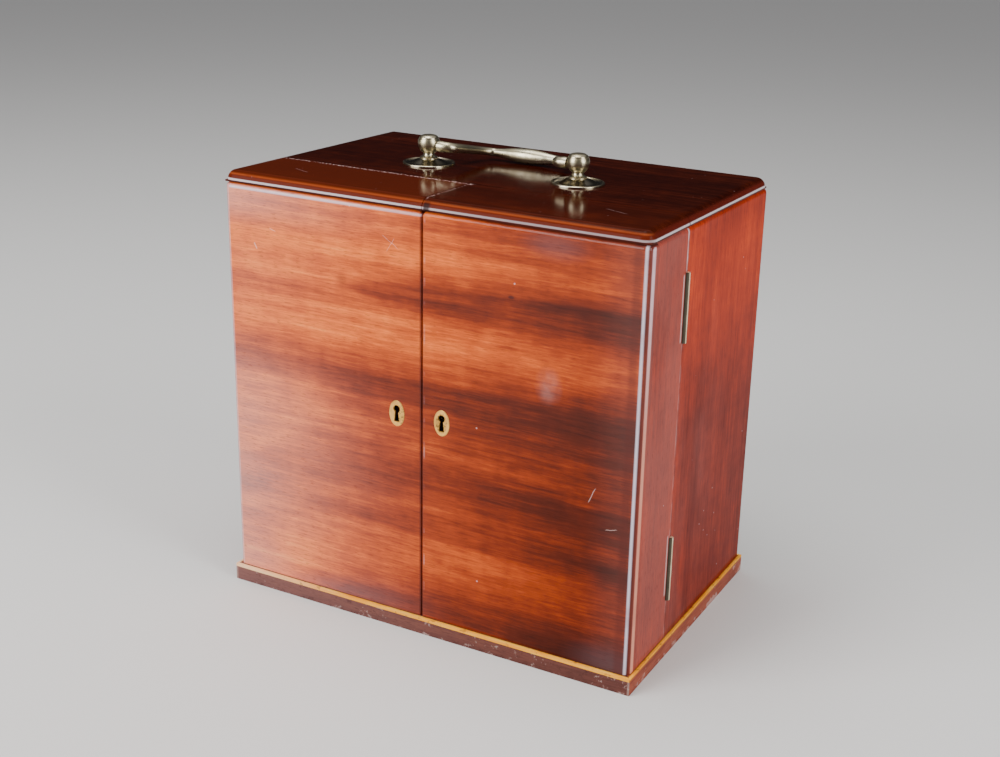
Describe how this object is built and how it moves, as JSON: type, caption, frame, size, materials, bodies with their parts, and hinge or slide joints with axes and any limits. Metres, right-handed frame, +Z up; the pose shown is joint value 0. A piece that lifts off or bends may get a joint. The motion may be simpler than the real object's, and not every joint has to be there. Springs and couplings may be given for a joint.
{
  "type": "apothecary box",
  "caption": "Upright wooden box with deep hinged front doors, bottle racks, drawers, a lock, oval keyhole plates, a light plinth line and a folding carry handle.",
  "frame": {"origin": "on the floor under the middle of the box", "axes": "+Z up, the doors face -Y, +X is the right-hand side seen from the front"},
  "size_m": [0.284, 0.184, 0.2903],
  "materials": {
    "mahogany_front": "french polished, horizontal figure",
    "mahogany_side": "french polished, upright figure",
    "mahogany_top": "french polished, dark",
    "mahogany_inner": "waxed",
    "plinth_wood": "polished, worn",
    "boxwood": "polished",
    "brass": "worn, old polish",
    "lock_brass": "filed",
    "screw_iron": "dull",
    "bottle_glass": "clear, slightly green"
  },
  "bodies": {
    "carcass": {"base_board": "mahogany_inner", "carcass_back": "mahogany_inner", "bottle_shelf": "mahogany_inner", "bottle_rail": "mahogany_inner", "bottle_cross_divider": "mahogany_inner", "bottle_dividers": "mahogany_inner", "drawer_shelf": "mahogany_inner", "partition": "mahogany_inner", "plinth_front": "plinth_wood", "plinth_back": "plinth_wood", "plinth_ends": "plinth_wood", "plinth_stringing": "boxwood", "carcass_side_left": "mahogany_side", "carcass_side_right": "mahogany_side", "carcass_top": "mahogany_top", "carcass_bottles": "bottle_glass", "carcass_stoppers": "bottle_glass", "hinge_leaves": "brass", "hinge_pins": "brass", "handle_rosettes": "brass", "handle_posts": "brass", "handle_nuts": "brass", "hinge_screws": "screw_iron"},
    "left_door": {"lock_keep": "lock_brass", "left_door_front": "mahogany_front", "left_door_side": "mahogany_side", "left_door_stile": "mahogany_side", "left_door_bottom": "mahogany_side", "left_door_top": "mahogany_top", "left_rack_shelf": "mahogany_inner", "left_rack_rails": "mahogany_inner", "left_rack_dividers": "mahogany_inner", "left_rack_bottles": "bottle_glass", "left_rack_stoppers": "bottle_glass", "left_escutcheon": "brass", "left_door_leaves": "brass", "left_door_screws": "screw_iron"},
    "right_door": {"lock_case": "lock_brass", "right_door_front": "mahogany_front", "right_door_side": "mahogany_side", "right_door_stile": "mahogany_side", "right_door_bottom": "mahogany_side", "right_door_top": "mahogany_top", "right_rack_shelf": "mahogany_inner", "right_rack_rails": "mahogany_inner", "right_rack_dividers": "mahogany_inner", "right_rack_bottles": "bottle_glass", "right_rack_stoppers": "bottle_glass", "right_escutcheon": "brass", "right_door_leaves": "brass", "right_door_screws": "screw_iron"},
    "lock_bolt_body": {"lock_bolt": "lock_brass"},
    "bail": {"handle_bail": "brass"},
    "left_drawer": {"left_drawer_front": "mahogany_inner", "left_drawer_tray": "mahogany_inner", "left_drawer_knob": "brass"},
    "right_drawer": {"right_drawer_front": "mahogany_inner", "right_drawer_tray": "mahogany_inner", "right_drawer_knob": "brass"}
  },
  "joints": [
    {"name": "left_door_hinge", "type": "hinge", "parent": "carcass", "child": "left_door", "pos_m": [-0.1402, -0.038, 0.138], "axis": [0, 0, -1], "range_deg": [0, 175]},
    {"name": "right_door_hinge", "type": "hinge", "parent": "carcass", "child": "right_door", "pos_m": [0.1402, -0.038, 0.138], "axis": [0, 0, 1], "range_deg": [0, 175]},
    {"name": "bail_swing", "type": "hinge", "parent": "carcass", "child": "bail", "pos_m": [0, 0, 0.2835], "axis": [1, 0, 0], "range_deg": [0, 201]},
    {"name": "lock_bolt_slide", "type": "slide", "parent": "right_door", "child": "lock_bolt_body", "axis": [-1, 0, 0], "range_m": [0, 0.006]},
    {"name": "left_drawer_slide", "type": "slide", "parent": "carcass", "child": "left_drawer", "axis": [0, -1, 0], "range_m": [0, 0.0765]},
    {"name": "right_drawer_slide", "type": "slide", "parent": "carcass", "child": "right_drawer", "axis": [0, -1, 0], "range_m": [0, 0.0765]}
  ],
  "couplings": [
    {"joint": "left_drawer_slide", "follows": "left_door_hinge", "m_per_rad": 0.025},
    {"joint": "right_drawer_slide", "follows": "right_door_hinge", "m_per_rad": 0.025}
  ]
}
